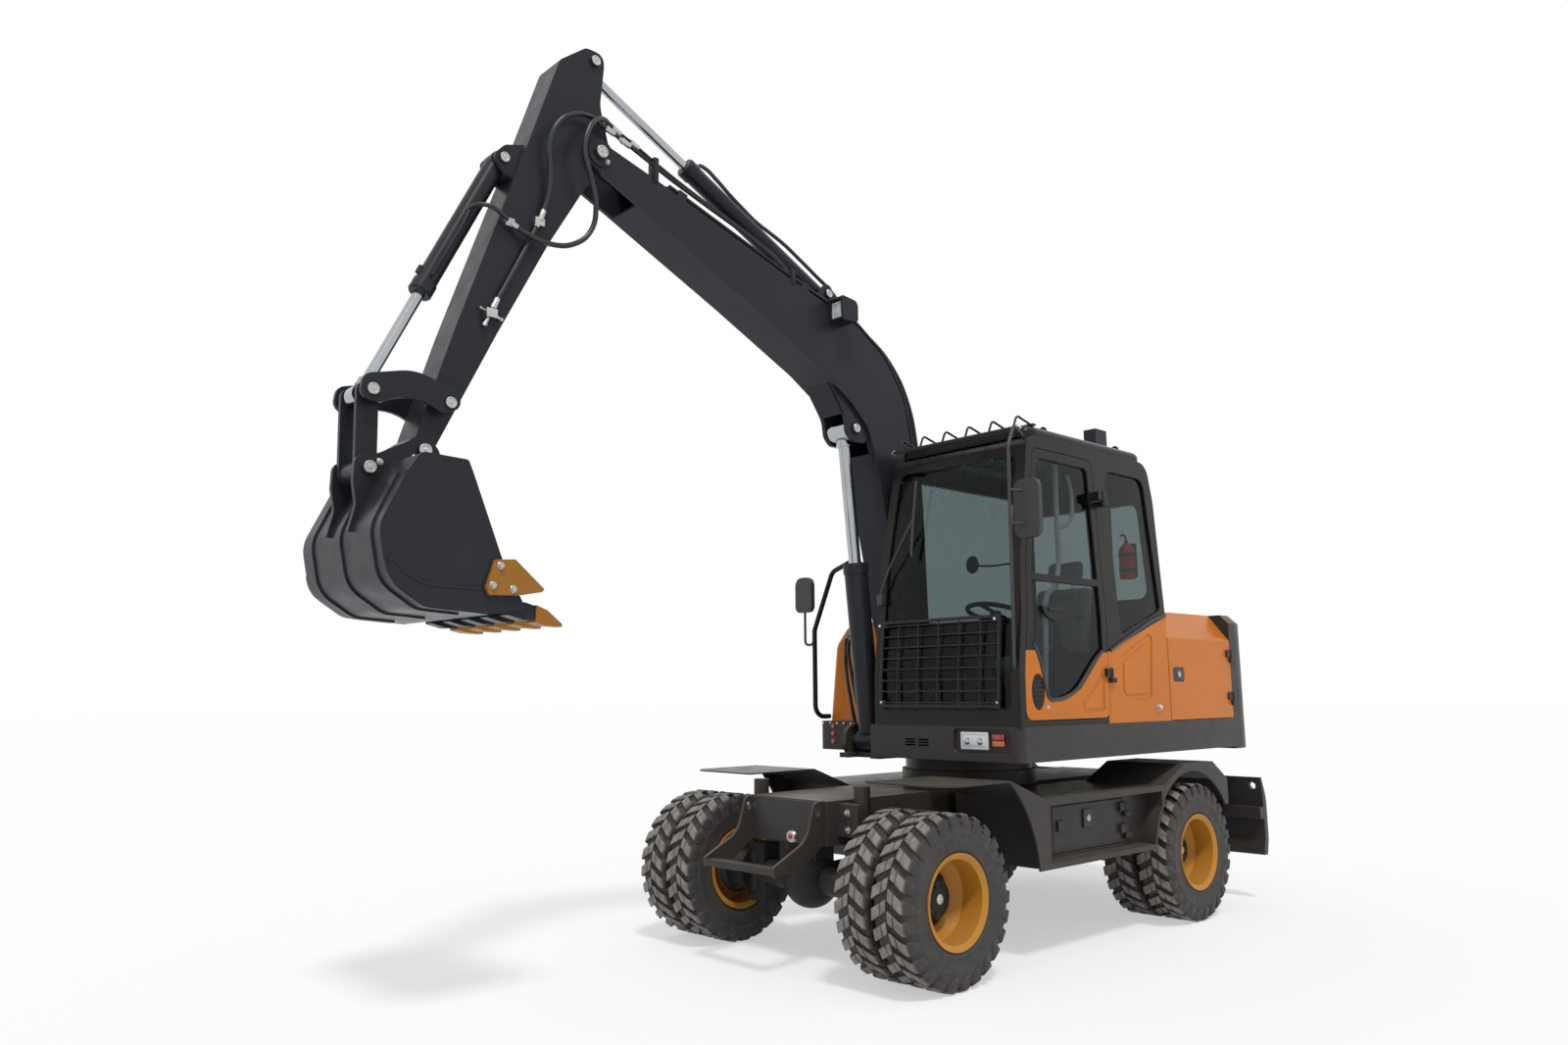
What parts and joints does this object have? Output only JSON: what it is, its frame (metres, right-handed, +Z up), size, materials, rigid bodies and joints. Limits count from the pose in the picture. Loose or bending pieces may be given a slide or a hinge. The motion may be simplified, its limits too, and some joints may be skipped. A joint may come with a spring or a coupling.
{
  "type": "wheeled excavator",
  "caption": "Wheeled excavator with a cab, a gooseneck boom, arm and bucket, twin tyres and a dozer blade at the rear.",
  "frame": {"origin": "on the ground under the middle of the overall box", "axes": "+X forward towards the bucket, +Y to the machine's left, +Z up"},
  "size_m": [6.253, 2.305, 4.945],
  "materials": {
    "dark_paint": "satin charcoal paint",
    "orange_paint": "glossy amber-orange paint",
    "black_paint": "satin near-black paint",
    "gold_paint": "ochre-gold paint",
    "chrome": "hard chrome",
    "cast_metal": "painted castings",
    "tyre": "dusty rubber",
    "glass": "clear tinted glass",
    "fabric": "woven seat cover",
    "plastic": "moulded trim",
    "lamp": "clear lamp lens"
  },
  "bodies": {
    "carriage": {"carriage_frame": "dark_paint", "slewing_ring": "dark_paint", "front_step": "dark_paint", "side_box_left": "dark_paint", "side_box_right": "dark_paint", "front_axle": "cast_metal", "rear_axle": "cast_metal", "driveline": "cast_metal"},
    "knuckle_left": {"knuckle_left": "cast_metal"},
    "knuckle_right": {"knuckle_right": "cast_metal"},
    "toolbox_door_left": {"toolbox_door_left": "dark_paint"},
    "toolbox_door_right": {"toolbox_door_right": "dark_paint"},
    "blade": {"blade": "dark_paint"},
    "blade_ram_barrel": {"blade_barrels": "black_paint"},
    "blade_ram_rod": {"blade_rods": "chrome"},
    "upper": {"upper_frame": "dark_paint", "counterweight": "dark_paint", "engine": "cast_metal", "hood": "dark_paint", "exhaust": "black_paint", "tank": "orange_paint", "cab_frame": "dark_paint", "quarter_panel": "orange_paint", "cab_glass": "glass", "cab_roof": "dark_paint", "seat": "fabric", "console": "plastic", "guards": "black_paint", "handrail": "dark_paint", "mirrors": "dark_paint", "lamps": "lamp"},
    "cab_door": {"cab_door": "dark_paint", "door_panel": "orange_paint", "door_glass": "glass"},
    "side_door_left": {"side_door_left": "orange_paint"},
    "side_door_right": {"side_door_right": "orange_paint"},
    "hood_lid": {"hood_lid": "orange_paint"},
    "boom": {"boom": "black_paint", "boom_lamp": "black_paint", "boom_pipes": "black_paint"},
    "lift_barrel": {"lift_barrel": "black_paint"},
    "lift_rod": {"lift_rod": "chrome"},
    "arm": {"arm": "black_paint"},
    "crowd_barrel": {"crowd_barrel": "black_paint"},
    "crowd_rod": {"crowd_rod": "chrome"},
    "bucket": {"bucket": "black_paint", "bucket_teeth": "gold_paint"},
    "rocker": {"rocker": "black_paint"},
    "link": {"link": "black_paint"},
    "curl_barrel": {"curl_barrel": "black_paint"},
    "curl_rod": {"curl_rod": "chrome"},
    "wheel_front_left": {"rim_front_left": "gold_paint", "tyre_front_left": "tyre"},
    "wheel_front_right": {"rim_front_right": "gold_paint", "tyre_front_right": "tyre"},
    "wheel_rear_left": {"rim_rear_left": "gold_paint", "tyre_rear_left": "tyre"},
    "wheel_rear_right": {"rim_rear_right": "gold_paint", "tyre_rear_right": "tyre"}
  },
  "joints": [
    {"name": "steer_left", "type": "hinge", "parent": "carriage", "child": "knuckle_left", "pos_m": [0.451, 0.455, 0.431], "axis": [0, 0, 1], "range_deg": [-30, 30]},
    {"name": "steer_right", "type": "hinge", "parent": "carriage", "child": "knuckle_right", "pos_m": [0.451, -0.455, 0.431], "axis": [0, 0, 1], "range_deg": [-30.5, 30.5]},
    {"name": "wheel_front_left", "type": "hinge", "parent": "knuckle_left", "child": "wheel_front_left", "pos_m": [0.451, 0.82, 0.431], "axis": [0, 1, 0], "continuous": true},
    {"name": "wheel_front_right", "type": "hinge", "parent": "knuckle_right", "child": "wheel_front_right", "pos_m": [0.451, -0.82, 0.431], "axis": [0, 1, 0], "continuous": true},
    {"name": "wheel_rear_left", "type": "hinge", "parent": "carriage", "child": "wheel_rear_left", "pos_m": [-2.014, 0.82, 0.431], "axis": [0, 1, 0], "continuous": true},
    {"name": "wheel_rear_right", "type": "hinge", "parent": "carriage", "child": "wheel_rear_right", "pos_m": [-2.014, -0.82, 0.431], "axis": [0, 1, 0], "continuous": true},
    {"name": "blade_lift", "type": "hinge", "parent": "carriage", "child": "blade", "pos_m": [-2.23, 0, 0.5], "axis": [0, 1, 0], "range_deg": [-30, 6]},
    {"name": "blade_ram_swing", "type": "hinge", "parent": "carriage", "child": "blade_ram_barrel", "pos_m": [-2.64, 0, 0.8], "axis": [0, 1, 0], "range_deg": [-25.91, 5.58]},
    {"name": "blade_ram_stroke", "type": "slide", "parent": "blade_ram_barrel", "child": "blade_ram_rod", "axis": [-0.6306, 0, -0.7761], "range_m": [-0.05504, 0.26321]},
    {"name": "swing", "type": "hinge", "parent": "carriage", "child": "upper", "pos_m": [-1, 0, 1], "axis": [0, 0, 1], "continuous": true},
    {"name": "cab_door", "type": "hinge", "parent": "upper", "child": "cab_door", "pos_m": [-1.076, 1.045, 1.9], "axis": [0, 0, 1], "range_deg": [0, 150]},
    {"name": "side_door_left", "type": "hinge", "parent": "upper", "child": "side_door_left", "pos_m": [-2.646, 1.038, 1.6], "axis": [0, 0, 1], "range_deg": [0, 110]},
    {"name": "side_door_right", "type": "hinge", "parent": "upper", "child": "side_door_right", "pos_m": [-2.646, -1.038, 1.6], "axis": [0, 0, -1], "range_deg": [0, 110]},
    {"name": "hood_lid", "type": "hinge", "parent": "upper", "child": "hood_lid", "pos_m": [-1.804, -0.35, 1.985], "axis": [0, 1, 0], "range_deg": [0, 70]},
    {"name": "toolbox_left", "type": "hinge", "parent": "carriage", "child": "toolbox_door_left", "pos_m": [-1.33, 0.936, 0.68], "axis": [0, 0, 1], "range_deg": [0, 100]},
    {"name": "toolbox_right", "type": "hinge", "parent": "carriage", "child": "toolbox_door_right", "pos_m": [-1.33, -0.936, 0.68], "axis": [0, 0, -1], "range_deg": [0, 100]},
    {"name": "boom_lift", "type": "hinge", "parent": "upper", "child": "boom", "pos_m": [-0.72, -0.25, 1.5], "axis": [0, -1, 0], "range_deg": [-85, 12]},
    {"name": "lift_swing", "type": "hinge", "parent": "upper", "child": "lift_barrel", "pos_m": [-0.335, -0.25, 1.165], "axis": [0, 1, 0], "range_deg": [-12.76, 87.37]},
    {"name": "lift_stroke", "type": "slide", "parent": "lift_barrel", "child": "lift_rod", "axis": [0.108, 0, 0.9942], "range_m": [-0.69284, 0.10039]},
    {"name": "arm_crowd", "type": "hinge", "parent": "boom", "child": "arm", "pos_m": [1.865, -0.25, 4.35], "axis": [0, 1, 0], "range_deg": [-58, 50]},
    {"name": "crowd_swing", "type": "hinge", "parent": "boom", "child": "crowd_barrel", "pos_m": [0.085, -0.25, 4.005], "axis": [0, 1, 0], "range_deg": [-6.7, 5.85]},
    {"name": "crowd_stroke", "type": "slide", "parent": "crowd_barrel", "child": "crowd_rod", "axis": [0.8989, 0, 0.4382], "range_m": [-0.45638, 0.39385]},
    {"name": "bucket_curl", "type": "hinge", "parent": "arm", "child": "bucket", "pos_m": [2.788, -0.25, 2.58], "axis": [0, 1, 0], "range_deg": [-90, 60]},
    {"name": "rocker", "type": "hinge", "parent": "arm", "child": "rocker", "pos_m": [2.68, -0.25, 2.819], "axis": [0, 1, 0], "range_deg": [-70.62, 47.25]},
    {"name": "link", "type": "hinge", "parent": "rocker", "child": "link", "pos_m": [3.05, -0.25, 2.82], "axis": [0, 1, 0], "range_deg": [-34.38, 51.33]},
    {"name": "curl_swing", "type": "hinge", "parent": "arm", "child": "curl_barrel", "pos_m": [2.403, -0.25, 4.162], "axis": [0, 1, 0], "range_deg": [-1.86, 1.41]},
    {"name": "curl_stroke", "type": "slide", "parent": "curl_barrel", "child": "curl_rod", "axis": [0.4343, 0, -0.9008], "range_m": [-0.39628, 0.26518]}
  ],
  "couplings": [
    {"joint": "steer_right", "follows": "steer_left", "ratio": 1},
    {"joint": "blade_ram_swing", "follows": "blade_lift", "ratio": 0.84699},
    {"joint": "blade_ram_stroke", "follows": "blade_lift", "m_per_rad": -0.49696},
    {"joint": "lift_swing", "follows": "boom_lift", "ratio": -1.022},
    {"joint": "lift_stroke", "follows": "boom_lift", "m_per_rad": 0.465},
    {"joint": "crowd_swing", "follows": "arm_crowd", "ratio": 0.10697},
    {"joint": "crowd_stroke", "follows": "arm_crowd", "m_per_rad": 0.44788},
    {"joint": "rocker", "follows": "bucket_curl", "ratio": 0.77913},
    {"joint": "link", "follows": "bucket_curl", "ratio": -0.56473},
    {"joint": "curl_swing", "follows": "bucket_curl", "ratio": 0.01513},
    {"joint": "curl_stroke", "follows": "bucket_curl", "m_per_rad": 0.25037}
  ]
}
